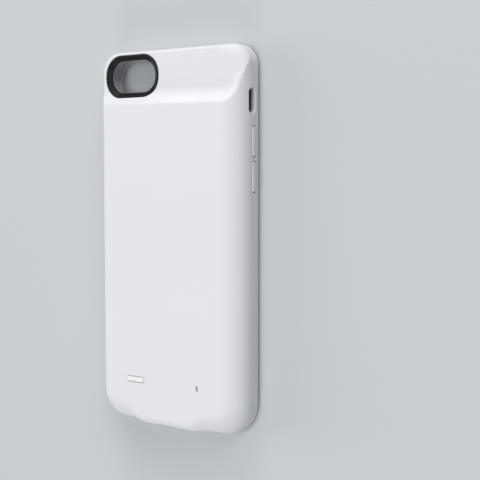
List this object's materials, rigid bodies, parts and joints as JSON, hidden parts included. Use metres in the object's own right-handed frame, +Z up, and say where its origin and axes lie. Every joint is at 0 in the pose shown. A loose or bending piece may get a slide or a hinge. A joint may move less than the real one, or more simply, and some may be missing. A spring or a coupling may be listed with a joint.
{
  "type": "battery charging case",
  "caption": "Slim white clip-on battery case with a stepped back, an oval camera window, side keys, a charge key and a dock plug in the chin.",
  "frame": {"origin": "on the surface the case lies on, below the middle of its outline", "axes": "+X across the case towards the volume keys, +Y along it towards the camera end, +Z up out of its back, with the front rim down"},
  "size_m": [0.0714, 0.145, 0.0136],
  "materials": {
    "shell_white": "smooth white moulded plastic with a soft sheen",
    "tray_white": "satin white moulded plastic",
    "bezel_black": "black moulded plastic",
    "key_white": "smooth white moulded plastic",
    "retainer_film": "translucent film",
    "switch_black": "black moulded plastic",
    "plunger_grey": "grey moulded plastic",
    "led_white": "clear resin over a light chip",
    "pipe_smoke": "smoky clear plastic",
    "board_green": "green lacquered laminate",
    "screw_steel": "plated steel",
    "chip_black": "black moulding compound",
    "inductor_grey": "pressed ferrite",
    "capacitor_tan": "fired ceramic",
    "socket_steel": "plated steel",
    "socket_black": "black moulded plastic",
    "plug_steel": "plated steel",
    "plug_moulding": "white moulded plastic",
    "contact_gold": "gold plated",
    "flex_amber": "amber film",
    "cell_foil": "laminated foil pouch",
    "tape_clear": "double-sided tape",
    "foam_grey": "thin soft foam",
    "tab_nickel": "nickel strip",
    "lead_red": "red insulation",
    "lead_black": "black insulation"
  },
  "bodies": {
    "case": {"outer_shell": "shell_white", "inner_tray": "tray_white", "camera_bezel": "bezel_black", "volume_key_retainer": "retainer_film", "sleep_key_retainer": "retainer_film", "push_switch": "switch_black", "indicator_led": "led_white", "indicator_light_pipe": "pipe_smoke", "main_board": "board_green", "guard_board": "board_green", "board_screws": "screw_steel", "charge_controller": "chip_black", "boost_converter": "chip_black", "power_inductor": "inductor_grey", "filter_capacitors": "capacitor_tan", "socket_shell": "socket_steel", "socket_tongue": "socket_black", "dock_plug": "plug_steel", "plug_base": "plug_moulding", "plug_contacts": "contact_gold", "plug_flex": "flex_amber", "battery_cell": "cell_foil", "cell_tape": "tape_clear", "cell_foam": "foam_grey", "cell_tabs": "tab_nickel", "positive_lead": "lead_red", "negative_lead": "lead_black"},
    "charge_key": {"charge_key": "key_white", "switch_plunger": "plunger_grey"},
    "volume_up_key": {"volume_up_key": "shell_white"},
    "volume_down_key": {"volume_down_key": "shell_white"},
    "sleep_key": {"sleep_key": "shell_white"}
  },
  "joints": [
    {"name": "charge_key_press", "type": "slide", "parent": "case", "child": "charge_key", "axis": [0, 0, -1], "range_m": [0, 0.00025], "stiffness_N_per_m": 400},
    {"name": "volume_up_press", "type": "slide", "parent": "case", "child": "volume_up_key", "axis": [-1, 0, 0], "range_m": [0, 0.0004], "stiffness_N_per_m": 300},
    {"name": "volume_down_press", "type": "slide", "parent": "case", "child": "volume_down_key", "axis": [-1, 0, 0], "range_m": [0, 0.0004], "stiffness_N_per_m": 300},
    {"name": "sleep_press", "type": "slide", "parent": "case", "child": "sleep_key", "axis": [1, 0, 0], "range_m": [0, 0.0004], "stiffness_N_per_m": 300}
  ]
}
